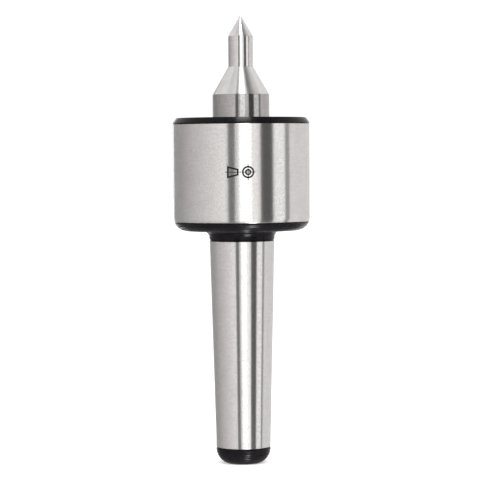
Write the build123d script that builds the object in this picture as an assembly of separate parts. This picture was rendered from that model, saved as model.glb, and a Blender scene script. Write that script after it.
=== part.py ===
"""Live center for a lathe tailstock: long-nose point turning on three bearings, Morse taper no. 4 shank.

Frame: the axis of rotation is Z, the point is up, and the origin is at the centre of the taper's gauge plane.
Every sub-part is written in place to parts/NODE.step, in millimetres.
"""

from build123d import *
from functools import partial
from math import asin, cos, degrees, floor, pi, radians, sin, tan
import os

# ---------------------------------------------------------------- driving sizes, mm and degrees

# Shank: Morse taper no. 4 without a tang
gauge_diameter = 31.267
taper_ratio = 1 / 19.254  # diameter lost per mm of length
ground_above_gauge = 5.0
shank_length = 102.5  # gauge plane to rear face
rear_end_length = 8.0  # blacked end below the ground taper
rear_end_straight = 1.0  # taper left on that end above its rounding
rear_face_diameter = 16.6
relief_depth = 0.4  # grinding relief at the top of the taper
relief_width = 0.9
centre_hole_pilot = 4.0
centre_hole_mouth = 8.5
neck_height = 5.0  # ground taper to the head's bottom face
neck_fillet = 3.4

# Head: the housing that is one piece with the shank
head_diameter = 66.0
head_corner_radius = 6.5
head_floor = 10.0
housing_wall = 7.0  # around the front bearing
mouth_wall = 4.0  # around the cover's thread
thrust_seat_step = 6.0  # front bearing seat to thrust bearing seat, on the radius
seat_step_drop = 1.0  # that step below the front bearing
rim_chamfer = 0.4

# Point
pin_diameter = 12.0
pin_length = 14.6
nose_diameter = 27.5
nose_above_cover = 11.1
point_angle = 60.0
tip_radius = 0.5
edge_break = 0.2

# Spindle behind the nose
journal_step = 1.25  # nose to front journal, on the radius
collar_height = 3.0  # collar over the front journal, on the radius
collar_length = 3.0
thrust_step = 2.5
rear_step = 2.5
shoulder_length = 3.8  # front journal left behind the retaining ring
thrust_journal_end = 1.0  # thrust journal's end above the housing's floor
spindle_tail = 1.0  # past the needle bearing
journal_chamfer = 0.8
spindle_hole_pilot = 3.0  # grinding center's hole in the spindle's rear end
spindle_hole_mouth = 6.75

# Front ball bearing
front_width = 15.0
front_ring_chamfer = 0.8
front_shoulder_width = 1.65  # recess for the shield, at each end of the outer ring
shield_sheet = 0.35
shield_inset = 0.35  # outer ring's face to the shield's rim
shield_dish = 0.5  # shield's middle below its rim
shield_clearance = 0.02  # shield's rim to the outer ring
shield_gap = 0.35  # shield's hub to the inner ring
cage_clearance = 0.15  # ball to pocket

# Thrust ball bearing
thrust_height = 14.0
washer_chamfer = 0.4
thrust_cage_clearance = 0.12
thrust_cage_chamfer = 0.2

# Needle bearing
needle_length = 16.0
needle_depth = 20.0  # gauge plane to the needle bearing's rear end
needle_diameter = 2.0
needle_cup_wall = 0.92
needle_lip = 0.8
needle_cup_chamfer = 0.3
needle_end_gap = 0.35
needle_pocket_depth = 4.0  # bore left behind the needle bearing
rolling_gap = 0.04  # between a ball or needle and its raceway

# Retaining ring on the front journal
ring_thickness = 1.2
ring_groove_depth = 0.55
ring_groove_gap = 0.1
ring_height = 2.2
ring_ear_radius = 1.5
ring_hole = 1.6
ring_hole_setback = 1.3  # ear's hole to the opening
ring_opening = 1.6

# Cover, seal and preload
flange_thickness = 2.8
flange_chamfer_radial = 1.7
flange_chamfer_axial = 2.3
cover_lip = 2.0
cover_web = 1.5
cover_gap = 0.4  # collar to the cover's web
nose_gap = 0.3  # nose to the cover's lip, on the radius
felt_width = 3.5
felt_height = 4.0
felt_edge = 0.15
felt_gap = 0.06  # felt to the turning nose
spring_height = 1.6
spring_thickness = 0.4
spring_waves = 4
spring_side_gap = 0.3
spring_end_gap = 0.03
thread_relief = 1.0
thread_chamfer = 0.8
spanner_hole = 4.0
spanner_depth = 4.5
spanner_edge = 0.3

# Lock screw through the housing wall on to the cover's thread
lock_screw_diameter = 3.0
lock_screw_chamfer = 0.25
lock_socket = 1.5  # hexagon across flats
lock_pad_thickness = 1.0
lock_pad_gap = 0.1
lock_recess = 0.25

seat_gap = 0.01  # ring seats, on the radius
running_gap = 0.5  # turning pieces inside the housing
thread_gap = 0.05  # between thread flanks
drill_angle = 118.0
overrun = 1.0  # how far a cutter runs past the face that it opens

# ---------------------------------------------------------------- radii worked out from those

gauge_radius = gauge_diameter / 2
head_radius = head_diameter / 2
pin_radius = pin_diameter / 2
nose_radius = nose_diameter / 2
journal_radius = nose_radius - journal_step
collar_radius = journal_radius + collar_height
thrust_journal_radius = journal_radius - thrust_step
rear_journal_radius = thrust_journal_radius - rear_step

front_outer_radius = head_radius - housing_wall
thrust_outer_radius = front_outer_radius - thrust_seat_step
needle_raceway_radius = rear_journal_radius + needle_diameter + 2 * rolling_gap
needle_outer_radius = needle_raceway_radius + needle_cup_wall
thread_radius = head_radius - mouth_wall

felt_inner_radius = nose_radius + felt_gap
felt_outer_radius = felt_inner_radius + felt_height

# ---------------------------------------------------------------- heights, bottom to top

rear_face_z = -shank_length
ground_bottom_z = rear_face_z + rear_end_length
ground_top_z = ground_above_gauge
head_bottom_z = ground_top_z + neck_height
floor_z = head_bottom_z + head_floor
needle_bottom_z = -needle_depth
needle_top_z = needle_bottom_z + needle_length
needle_mid_z = (needle_bottom_z + needle_top_z) / 2
spindle_bottom_z = needle_bottom_z - spindle_tail
bore_bottom_z = needle_bottom_z - needle_pocket_depth
thrust_top_z = floor_z + thrust_height
ring_z = thrust_top_z + shoulder_length
front_bottom_z = ring_z + ring_thickness
front_top_z = front_bottom_z + front_width
spigot_end_z = front_top_z + spring_height
collar_top_z = front_top_z + collar_length
web_z = collar_top_z + cover_gap
felt_z = web_z + cover_web
lip_z = felt_z + felt_width
cover_top_z = lip_z + cover_lip
head_top_z = cover_top_z - flange_thickness

half_angle = radians(point_angle / 2)
nose_top_z = cover_top_z + nose_above_cover
pin_bottom_z = nose_top_z + (nose_radius - pin_radius) / tan(half_angle)
pin_top_z = pin_bottom_z + pin_length
apex_z = pin_top_z + pin_radius / tan(half_angle)  # of the sharp cone, before the tip is rounded
tip_z = apex_z - tip_radius / sin(half_angle) + tip_radius

# ---------------------------------------------------------------- rolling elements

groove_share = 0.52  # raceway groove radius over ball diameter
shoulder_share = 0.52  # ring shoulder from the pitch circle, over ball radius

front_section = front_outer_radius - journal_radius
front_pitch_radius = (front_outer_radius + journal_radius) / 2
front_ball = min(0.588 * front_section, 0.56 * front_width)
front_ball_count = floor(2 * pi * front_pitch_radius / (1.6 * front_ball))
front_mid_z = (front_bottom_z + front_top_z) / 2
front_inner_shoulder = front_pitch_radius - shoulder_share * front_ball / 2
front_outer_shoulder = front_pitch_radius + shoulder_share * front_ball / 2
front_recess_radius = front_outer_shoulder + 0.4 * (front_outer_radius - front_outer_shoulder)
front_cage_sheet = 0.085 * front_ball
front_cage_width = 0.38 * front_ball
rivet_radius = 0.1 * front_ball

thrust_section = thrust_outer_radius - thrust_journal_radius
thrust_pitch_radius = (thrust_outer_radius + thrust_journal_radius) / 2
thrust_ball = min(0.7 * thrust_section, 0.56 * thrust_height)
thrust_ball_count = floor(2 * pi * thrust_pitch_radius / (1.2 * thrust_ball))
thrust_mid_z = (floor_z + thrust_top_z) / 2
thrust_groove_depth = 0.38 * thrust_ball / 2
thrust_washer = thrust_height / 2 - thrust_ball / 2 - rolling_gap + thrust_groove_depth

needle_pitch_radius = rear_journal_radius + rolling_gap + needle_diameter / 2
needle_count = floor(2 * pi * needle_pitch_radius / (1.45 * needle_diameter))
needle_cage_end = 0.6 * needle_diameter  # solid band at each end of the needle cage
needle_cage_wall = 0.44 * needle_diameter


# ---------------------------------------------------------------- helpers


def turned(*outline):
    """A solid turned about Z from a closed outline of (radius, height) points."""
    points = [(r, 0, z) for r, z in outline]
    return turned_face(Polyline(*points, close=True))


def turned_face(*edges):
    """A solid turned about Z from edges in the XZ plane that close on each other."""
    return revolve(make_face(Curve() + list(edges)), Axis.Z)


def tube(outer, inner, bottom, top, outer_chamfer=0.0, inner_chamfer=0.0):
    """A ring with its end edges broken."""
    ring = standing_cylinder(outer, top - bottom) - Cylinder(inner, 2 * (top - bottom) + overrun)
    rims = ring.edges().filter_by(GeomType.CIRCLE).sort_by(SortBy.RADIUS)
    if outer_chamfer:
        ring = chamfer(rims[-2:], outer_chamfer)
        rims = ring.edges().filter_by(GeomType.CIRCLE).sort_by(SortBy.RADIUS)
    if inner_chamfer:
        ring = chamfer(rims[:2], inner_chamfer)
    return Pos(0, 0, bottom) * ring


def standing_cylinder(radius, height):
    """A cylinder that stands on the XY plane."""
    return Cylinder(radius, height, align=(Align.CENTER, Align.CENTER, Align.MIN))


def centre_hole(mouth, pilot, height):
    """The cutter for a 60 degree centre hole that opens downwards at height and goes up into the metal."""
    cone = (mouth - pilot) / 2 / tan(radians(30))
    drill = cone + 1.2 * pilot
    return turned(
        (0, height - overrun),
        (mouth / 2, height - overrun),
        (mouth / 2, height),
        (pilot / 2, height + cone),
        (pilot / 2, height + drill),
        (0, height + drill + drill_point(pilot / 2)),
    )


def drill_point(radius):
    """Depth of the cone that a drill of that radius leaves."""
    return radius / tan(radians(drill_angle / 2))


def taper_radius(z):
    """The ground taper's radius at height z."""
    return gauge_radius + z * taper_ratio / 2


def around(count, radius, height, solid):
    """count copies of a solid made at the origin, spaced evenly on a circle."""
    return [Rot(0, 0, 360 * i / count) * Pos(radius, 0, height) * solid for i in range(count)]


def raceway(ball, reach, height):
    """The torus that cuts a ball groove whose circle has that radius, at that height."""
    return Pos(0, 0, height) * Torus(reach, groove_share * ball)


# ---------------------------------------------------------------- housing and cover


def body_shank():
    """Head housing and Morse taper shank, turned from one forging and ground on the head and the taper."""
    end_start_z = ground_bottom_z - rear_end_straight
    neck = taper_radius(ground_top_z)
    end_start = (taper_radius(end_start_z), 0, end_start_z)
    end_stop = (rear_face_diameter / 2, 0, rear_face_z)
    corner_start = (head_radius - head_corner_radius, 0, head_bottom_z)
    corner_stop = (head_radius, 0, head_bottom_z + head_corner_radius)
    fillet_start = (neck, 0, head_bottom_z - neck_fillet)
    fillet_stop = (neck + neck_fillet, 0, head_bottom_z)
    body = turned_face(
        Line((0, 0, rear_face_z), end_stop),
        TangentArc(end_start, end_stop, tangent=(-taper_ratio / 2, 0, -1)),
        Polyline(
            end_start,
            (neck, 0, ground_top_z),
            (neck - relief_depth, 0, ground_top_z + relief_depth / 2),
            (neck - relief_depth, 0, ground_top_z + relief_width - relief_depth / 2),
            (neck, 0, ground_top_z + relief_width),
            fillet_start,
        ),
        TangentArc(fillet_start, fillet_stop, tangent=(0, 0, 1)),
        Line(fillet_stop, corner_start),
        TangentArc(corner_start, corner_stop, tangent=(1, 0, 0)),
        Polyline(
            corner_stop,
            (head_radius, 0, head_top_z - rim_chamfer),
            (head_radius - rim_chamfer, 0, head_top_z),
            (0, 0, head_top_z),
            (0, 0, rear_face_z),
        ),
    )
    hole = centre_hole(centre_hole_mouth, centre_hole_pilot, rear_face_z)
    return body - housing_bore() - hole - lock_screw_hole()


def housing_bore():
    """The cutter for the bearing seats, bottom to top, and the cover's thread."""
    needle_seat = needle_outer_radius + seat_gap
    thrust_seat = thrust_outer_radius + seat_gap
    front_seat = front_outer_radius + seat_gap
    step_z = front_bottom_z - seat_step_drop
    thread_z = spigot_end_z - thread_relief
    return turned(
        (0, bore_bottom_z - drill_point(needle_seat)),
        (needle_seat, bore_bottom_z),
        (needle_seat, floor_z),
        (thrust_seat, floor_z),
        (thrust_seat, step_z),
        (front_seat, step_z),
        (front_seat, thread_z),
        (thread_radius, thread_z),
        (thread_radius, head_top_z - thread_chamfer),
        (thread_radius + thread_chamfer, head_top_z),
        (thread_radius + thread_chamfer, head_top_z + overrun),
        (0, head_top_z + overrun),
    )


def front_cover():
    """Threaded cover with a chamfered flange, a felt groove and two spanner holes."""
    spigot = thread_radius - thread_gap
    lip = nose_radius + nose_gap
    cover = turned(
        (lip, web_z),
        (front_recess_radius, web_z),
        (front_recess_radius, spigot_end_z),
        (spigot - thread_chamfer, spigot_end_z),
        (spigot, spigot_end_z + thread_chamfer),
        (spigot, head_top_z),
        (head_radius, head_top_z),
        (head_radius, cover_top_z - flange_chamfer_axial),
        (head_radius - flange_chamfer_radial, cover_top_z),
        (lip + edge_break, cover_top_z),
        (lip, cover_top_z - edge_break),
        (lip, lip_z),
        (felt_outer_radius, lip_z),
        (felt_outer_radius, felt_z),
        (lip, felt_z),
    )
    hole_circle = (felt_outer_radius + thread_radius) / 2
    for hole in around(2, hole_circle, cover_top_z - spanner_depth, spanner_cutter()):
        cover -= hole
    return cover


def spanner_cutter():
    """A flat-bottomed hole with a broken edge, from its floor up through the cover's front face."""
    radius = spanner_hole / 2
    hole = standing_cylinder(radius, spanner_depth + overrun)
    edge_height = spanner_edge + overrun
    edge = Cone(radius, radius + edge_height, edge_height, align=(Align.CENTER, Align.CENTER, Align.MIN))
    return hole + Pos(0, 0, spanner_depth - spanner_edge) * edge


def felt_seal():
    """Felt ring that wipes the nose, held in the cover's groove."""
    return tube(felt_outer_radius, felt_inner_radius, felt_z, lip_z, felt_edge, felt_edge)


def preload_spring():
    """Wave washer between the cover's spigot and the front bearing's outer ring, lofted in two halves."""
    inner = front_recess_radius + spring_side_gap
    outer = front_outer_radius - spring_side_gap
    middle = (inner + outer) / 2
    mid_z = (front_top_z + spigot_end_z) / 2
    rise = (spring_height - spring_thickness) / 2 - spring_end_gap

    def section(angle):
        slope = -rise * spring_waves * sin(spring_waves * angle)
        place = Plane(
            origin=(middle * cos(angle), middle * sin(angle), mid_z + rise * cos(spring_waves * angle)),
            x_dir=(cos(angle), sin(angle), 0),
            z_dir=(-middle * sin(angle), middle * cos(angle), slope),
        )
        return place * Rectangle(outer - inner, spring_thickness)

    steps = 4 * spring_waves
    halves = [loft([section(pi * (half + i / steps)) for i in range(steps + 1)]) for half in (0, 1)]
    return halves[0] + halves[1]


def lock_screw_axis():
    """Location on the housing's axis, with local Z pointing out through the lock screw at the back."""
    height = (spigot_end_z + head_top_z) / 2
    return Location(Plane(origin=(0, 0, height), x_dir=(0, 0, 1), z_dir=(0, 1, 0)))


def radial_cylinder(radius, inner, outer):
    """A cylinder along the lock screw's axis, between two distances from the housing's axis."""
    return lock_screw_axis() * Pos(0, 0, inner) * standing_cylinder(radius, outer - inner)


def lock_screw_hole():
    """The cutter for the lock screw's hole, from inside the cover's thread to outside the head."""
    start = thread_radius - thread_chamfer - thread_gap
    return radial_cylinder(lock_screw_diameter / 2 + thread_gap, start, head_radius + overrun)


def lock_screw():
    """Grub screw with a hexagon socket."""
    start = thread_radius + lock_pad_thickness
    end = head_radius - lock_recess
    screw = radial_cylinder(lock_screw_diameter / 2, start, end)
    screw = chamfer(screw.edges().filter_by(GeomType.CIRCLE), lock_screw_chamfer)
    depth = (end - start) / 2
    hexagon = RegularPolygon(lock_socket / 2, 6, major_radius=False)
    return screw - lock_screw_axis() * Pos(0, 0, end - depth) * extrude(hexagon, depth + overrun)


def lock_pad():
    """Soft brass pad that keeps the lock screw off the cover's thread."""
    radius = lock_screw_diameter / 2 - lock_pad_gap
    return radial_cylinder(radius, thread_radius, thread_radius + lock_pad_thickness)


# ---------------------------------------------------------------- spindle


def center_spindle():
    """The turning center: long-nose point, collar, front journal, thrust journal and rear journal."""
    tangent_radius = tip_radius * cos(half_angle)
    tangent_z = apex_z - tangent_radius / tan(half_angle)
    groove = journal_radius - ring_groove_depth
    thrust_end_z = floor_z + thrust_journal_end
    outline = Polyline(
        (tangent_radius, 0, tangent_z),
        (pin_radius, 0, pin_top_z),
        (pin_radius, 0, pin_bottom_z),
        (nose_radius, 0, nose_top_z),
        (nose_radius, 0, collar_top_z + edge_break),
        (nose_radius - edge_break, 0, collar_top_z),
        (collar_radius - edge_break, 0, collar_top_z),
        (collar_radius, 0, collar_top_z - edge_break),
        (collar_radius, 0, front_top_z),
        (journal_radius, 0, front_top_z),
        (journal_radius, 0, front_bottom_z),
        (groove, 0, front_bottom_z),
        (groove, 0, ring_z - ring_groove_gap),
        (journal_radius, 0, ring_z - ring_groove_gap),
        (journal_radius, 0, thrust_top_z + edge_break),
        (journal_radius - edge_break, 0, thrust_top_z),
        (thrust_journal_radius, 0, thrust_top_z),
        (thrust_journal_radius, 0, thrust_end_z + journal_chamfer),
        (thrust_journal_radius - journal_chamfer, 0, thrust_end_z),
        (rear_journal_radius, 0, thrust_end_z),
        (rear_journal_radius, 0, spindle_bottom_z + journal_chamfer),
        (rear_journal_radius - journal_chamfer, 0, spindle_bottom_z),
        (0, 0, spindle_bottom_z),
        (0, 0, tip_z),
    )
    tip = TangentArc((0, 0, tip_z), (tangent_radius, 0, tangent_z), tangent=(1, 0, 0))
    spindle = turned_face(outline, tip)
    return spindle - centre_hole(spindle_hole_mouth, spindle_hole_pilot, spindle_bottom_z)


def retaining_ring():
    """External retaining ring with two eared ends, in the groove behind the front bearing."""
    inner = journal_radius - ring_groove_depth
    ear_circle = inner + ring_ear_radius
    ear_angle = degrees(asin((ring_opening / 2 + ring_hole_setback) / ear_circle))
    ears = [Rot(0, 0, side * ear_angle) * Pos(ear_circle, 0, 0) for side in (1, -1)]
    ring = standing_cylinder(inner + ring_height, ring_thickness)
    for ear in ears:
        ring += ear * standing_cylinder(ring_ear_radius, ring_thickness)
    ring -= Cylinder(inner, 3 * ring_thickness)
    ring -= Pos(ear_circle, 0, 0) * Box(3 * ring_height, ring_opening, 3 * ring_thickness)
    for ear in ears:
        ring -= ear * Cylinder(ring_hole / 2, 3 * ring_thickness)
    return Pos(0, 0, ring_z) * ring


# ---------------------------------------------------------------- front ball bearing


def front_raceway(side):
    """The cutter for the groove of the outer ring (side 1) or the inner ring (side -1)."""
    reach = front_ball / 2 + rolling_gap - groove_share * front_ball
    return raceway(front_ball, front_pitch_radius + side * reach, front_mid_z)


def front_outer_ring():
    """Outer ring with a groove and a recess at each end for its shield."""
    ring = tube(front_outer_radius, front_outer_shoulder, front_bottom_z, front_top_z, front_ring_chamfer)
    recess = standing_cylinder(front_recess_radius, front_shoulder_width + overrun)
    ring -= Pos(0, 0, front_bottom_z - overrun) * recess
    ring -= Pos(0, 0, front_top_z - front_shoulder_width) * recess
    return ring - front_raceway(1)


def front_inner_ring():
    """Inner ring on the spindle's front journal."""
    inner = journal_radius + seat_gap
    ring = tube(front_inner_shoulder, inner, front_bottom_z, front_top_z, washer_chamfer, washer_chamfer)
    return ring - front_raceway(-1)


def front_balls():
    balls = around(front_ball_count, front_pitch_radius, front_mid_z, Sphere(front_ball / 2))
    return Compound(children=balls)


def front_cage_half(side):
    """One pressed half of the ribbon cage, above (side 1) or below (side -1) the balls' centres."""
    pocket = front_ball / 2 + cage_clearance
    outer = front_pitch_radius + front_cage_width / 2
    inner = front_pitch_radius - front_cage_width / 2
    band = tube(outer, inner, min(0, side * front_ball), max(0, side * front_ball))
    half = tube(outer, inner, min(0, side * front_cage_sheet), max(0, side * front_cage_sheet))
    for dome in around(front_ball_count, front_pitch_radius, 0, Sphere(pocket + front_cage_sheet)):
        half += dome & band
    for hollow in around(front_ball_count, front_pitch_radius, 0, Sphere(pocket)):
        half -= hollow
    for hole in between_front_balls(Cylinder(rivet_radius, 4 * front_cage_sheet)):
        half -= hole
    return Pos(0, 0, front_mid_z) * half


def between_front_balls(solid):
    """Copies of a solid midway between the pockets, at height zero."""
    copies = around(front_ball_count, front_pitch_radius, 0, solid)
    return [Rot(0, 0, 180 / front_ball_count) * copy for copy in copies]


def front_cage_rivets():
    """The rivets that hold the cage's halves together, with a flat head on each side."""
    head = 0.7 * front_cage_sheet
    rivet = Cylinder(rivet_radius, 2 * front_cage_sheet)
    for side in (1, -1):
        rivet += Pos(0, 0, side * (front_cage_sheet + head / 2)) * Cylinder(1.5 * rivet_radius, head)
    return Pos(0, 0, front_mid_z) * Compound(children=between_front_balls(rivet))


def front_shield(side):
    """Pressed shield snapped into the outer ring, just clear of the inner ring."""
    face = front_mid_z + side * (front_width / 2 - shield_inset)
    dish = face - side * shield_dish
    sheet = side * shield_sheet
    rim = front_recess_radius - shield_clearance
    hub = front_inner_shoulder + shield_gap
    waist = (front_outer_shoulder + hub) / 2
    return turned(
        (rim, face),
        (front_outer_shoulder, face),
        (waist, dish),
        (hub, dish),
        (hub, dish - sheet),
        (waist, dish - sheet),
        (front_outer_shoulder, face - sheet),
        (rim, face - sheet),
    )


# ---------------------------------------------------------------- thrust ball bearing


def thrust_raceway(side):
    """The cutter for the groove of the upper washer (side 1) or the lower washer (side -1)."""
    reach = thrust_ball / 2 + rolling_gap - groove_share * thrust_ball
    return raceway(thrust_ball, thrust_pitch_radius, thrust_mid_z + side * reach)


def thrust_shaft_washer():
    """Upper washer, carried by the spindle's shoulder."""
    inner = thrust_journal_radius + seat_gap
    outer = thrust_outer_radius - running_gap
    bottom = thrust_top_z - thrust_washer
    return tube(outer, inner, bottom, thrust_top_z, washer_chamfer, washer_chamfer) - thrust_raceway(1)


def thrust_housing_washer():
    """Lower washer, resting on the housing's floor and clear of the spindle."""
    inner = max(thrust_journal_radius + 2 * running_gap, needle_outer_radius + running_gap)
    top = floor_z + thrust_washer
    ring = tube(thrust_outer_radius, inner, floor_z, top, washer_chamfer, washer_chamfer)
    return ring - thrust_raceway(-1)


def thrust_balls():
    balls = around(thrust_ball_count, thrust_pitch_radius, thrust_mid_z, Sphere(thrust_ball / 2))
    return Compound(children=balls)


def thrust_cage():
    """Flat cage with one round pocket for each ball."""
    outer = thrust_pitch_radius + 0.38 * thrust_section
    inner = thrust_pitch_radius - 0.38 * thrust_section
    half_height = 0.45 * (thrust_ball / 2 - thrust_groove_depth)
    cage = tube(outer, inner, -half_height, half_height, thrust_cage_chamfer, thrust_cage_chamfer)
    pocket = Sphere(thrust_ball / 2 + thrust_cage_clearance)
    for hollow in around(thrust_ball_count, thrust_pitch_radius, 0, pocket):
        cage -= hollow
    return Pos(0, 0, thrust_mid_z) * cage


# ---------------------------------------------------------------- rear needle bearing


def needle_cup():
    """Drawn cup with turned-in lips, pressed into the shank's bore."""
    lip_inner = rear_journal_radius + needle_end_gap
    cup = tube(needle_outer_radius, lip_inner, needle_bottom_z, needle_top_z, needle_cup_chamfer)
    bore = Cylinder(needle_raceway_radius, needle_length - 2 * needle_lip)
    return cup - Pos(0, 0, needle_mid_z) * bore


def needle_rollers():
    length = needle_length - 2 * (needle_lip + needle_end_gap + needle_cage_end)
    roller = Cylinder(needle_diameter / 2, length)
    roller = chamfer(roller.edges().filter_by(GeomType.CIRCLE), 0.1 * needle_diameter)
    return Compound(children=around(needle_count, needle_pitch_radius, needle_mid_z, roller))


def needle_cage():
    """Thin tube with a window for each needle."""
    height = needle_length - 2 * needle_lip - needle_end_gap
    outer = needle_pitch_radius + needle_cage_wall / 2
    inner = needle_pitch_radius - needle_cage_wall / 2
    cage = tube(outer, inner, -height / 2, height / 2)
    window_height = height - 2 * needle_cage_end + needle_end_gap / 2
    window = Box(2 * needle_cage_wall, 1.06 * needle_diameter, window_height)
    for opening in around(needle_count, needle_pitch_radius, 0, window):
        cage -= opening
    return Pos(0, 0, needle_mid_z) * cage


# ---------------------------------------------------------------- write the sub-parts

nodes = {
    "body_shank": body_shank,
    "front_cover": front_cover,
    "felt_seal": felt_seal,
    "preload_spring": preload_spring,
    "lock_screw": lock_screw,
    "lock_pad": lock_pad,
    "center_spindle": center_spindle,
    "retaining_ring": retaining_ring,
    "front_outer_ring": front_outer_ring,
    "front_inner_ring": front_inner_ring,
    "front_balls": front_balls,
    "front_cage_upper": partial(front_cage_half, 1),
    "front_cage_lower": partial(front_cage_half, -1),
    "front_cage_rivets": front_cage_rivets,
    "front_shield_upper": partial(front_shield, 1),
    "front_shield_lower": partial(front_shield, -1),
    "thrust_shaft_washer": thrust_shaft_washer,
    "thrust_housing_washer": thrust_housing_washer,
    "thrust_balls": thrust_balls,
    "thrust_cage": thrust_cage,
    "needle_cup": needle_cup,
    "needle_rollers": needle_rollers,
    "needle_cage": needle_cage,
}

os.makedirs("parts", exist_ok=True)
for name, make in nodes.items():
    export_step(make(), f"parts/{name}.step")

print("overall length", round(tip_z - rear_face_z, 2))
print("balls", front_ball_count, "and", thrust_ball_count, "needles", needle_count)
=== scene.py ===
import bpy
from math import asin, atan, atan2, cos, degrees, hypot, pi, radians, sin, tan
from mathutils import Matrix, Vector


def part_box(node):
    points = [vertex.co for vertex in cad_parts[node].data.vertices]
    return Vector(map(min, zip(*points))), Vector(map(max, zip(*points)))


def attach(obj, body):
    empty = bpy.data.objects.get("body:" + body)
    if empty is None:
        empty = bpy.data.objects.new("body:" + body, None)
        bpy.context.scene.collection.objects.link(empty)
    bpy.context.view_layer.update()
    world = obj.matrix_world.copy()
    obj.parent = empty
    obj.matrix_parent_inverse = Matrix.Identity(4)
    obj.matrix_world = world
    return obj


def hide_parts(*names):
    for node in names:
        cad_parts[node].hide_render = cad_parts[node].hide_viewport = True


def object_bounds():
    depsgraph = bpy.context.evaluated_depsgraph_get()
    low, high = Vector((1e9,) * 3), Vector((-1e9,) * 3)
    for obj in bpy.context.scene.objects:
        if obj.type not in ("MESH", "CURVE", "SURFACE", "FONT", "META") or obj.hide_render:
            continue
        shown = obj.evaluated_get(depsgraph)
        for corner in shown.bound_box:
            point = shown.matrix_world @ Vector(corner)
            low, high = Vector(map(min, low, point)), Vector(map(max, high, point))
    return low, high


mm = 0.001  # everything is built in metres, and sizes are given in mm

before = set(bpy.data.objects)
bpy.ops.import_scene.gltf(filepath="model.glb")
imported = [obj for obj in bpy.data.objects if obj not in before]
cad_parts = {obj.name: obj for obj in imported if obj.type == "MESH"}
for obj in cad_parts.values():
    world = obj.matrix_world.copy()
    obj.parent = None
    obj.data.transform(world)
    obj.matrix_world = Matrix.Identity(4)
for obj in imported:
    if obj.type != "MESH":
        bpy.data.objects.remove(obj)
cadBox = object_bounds()

viewFrom = dict(
    distance=1.05,  # from the axis, straight in front
    eyeHeight=48 * mm,  # above the gauge plane
    aimHeight=5.4 * mm,
    aimSide=-0.96 * mm,
    lens=163.06,
    roll=radians(-0.44),
)


def addCamera(v):
    bpy.ops.object.camera_add(location=(v["aimSide"], -v["distance"], v["eyeHeight"]))
    camera = bpy.context.object
    tilt = atan((v["eyeHeight"] - v["aimHeight"]) / v["distance"])
    camera.rotation_euler = (pi / 2 - tilt, 0, 0)
    camera.rotation_euler.rotate_axis("Z", v["roll"])
    camera.data.lens = v["lens"]
    camera.data.clip_start = 0.05
    bpy.context.scene.camera = camera


addCamera(viewFrom)
bpy.context.scene.view_settings.view_transform = "Standard"  # bright steel on white keeps its contrast


def hexColour(code, alpha=1.0):
    channels = [int(code[i : i + 2], 16) / 255 for i in (0, 2, 4)]
    linear = [c / 12.92 if c <= 0.04045 else ((c + 0.055) / 1.055) ** 2.4 for c in channels]
    return (*linear, alpha)


def addNode(tree, kind, settings=None, links=None):
    # settings go by property name or by socket name or number, and links give a socket what feeds it
    node = tree.nodes.new(kind)
    for name, value in (settings or {}).items():
        if isinstance(name, int) or name in node.inputs:
            node.inputs[name].default_value = value
        else:
            setattr(node, name, value)
    for name, source in (links or {}).items():
        tree.links.new(source, node.inputs[name])
    return node


def emptyMaterial(name):
    material = bpy.data.materials.new(name)
    material.use_nodes = True
    material.node_tree.nodes.clear()
    return material, material.node_tree


def mattPaint(name, colour, glow=0.0):
    # matt paint on a studio card, or matt acrylic that is lit from behind: no gloss at all
    material, tree = emptyMaterial(name)
    finish = {"Base Color": colour, "Roughness": 1.0, "Specular IOR Level": 0.0}
    light = {"Emission Color": colour, "Emission Strength": glow}
    paint = addNode(tree, "ShaderNodeBsdfPrincipled", {**finish, **light})
    addNode(tree, "ShaderNodeOutputMaterial", None, {"Surface": paint.outputs[0]})
    return material


def deselectAll():
    if bpy.context.object and bpy.context.object.mode != "OBJECT":
        bpy.ops.object.mode_set(mode="OBJECT")
    bpy.ops.object.select_all(action="DESELECT")


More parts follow.
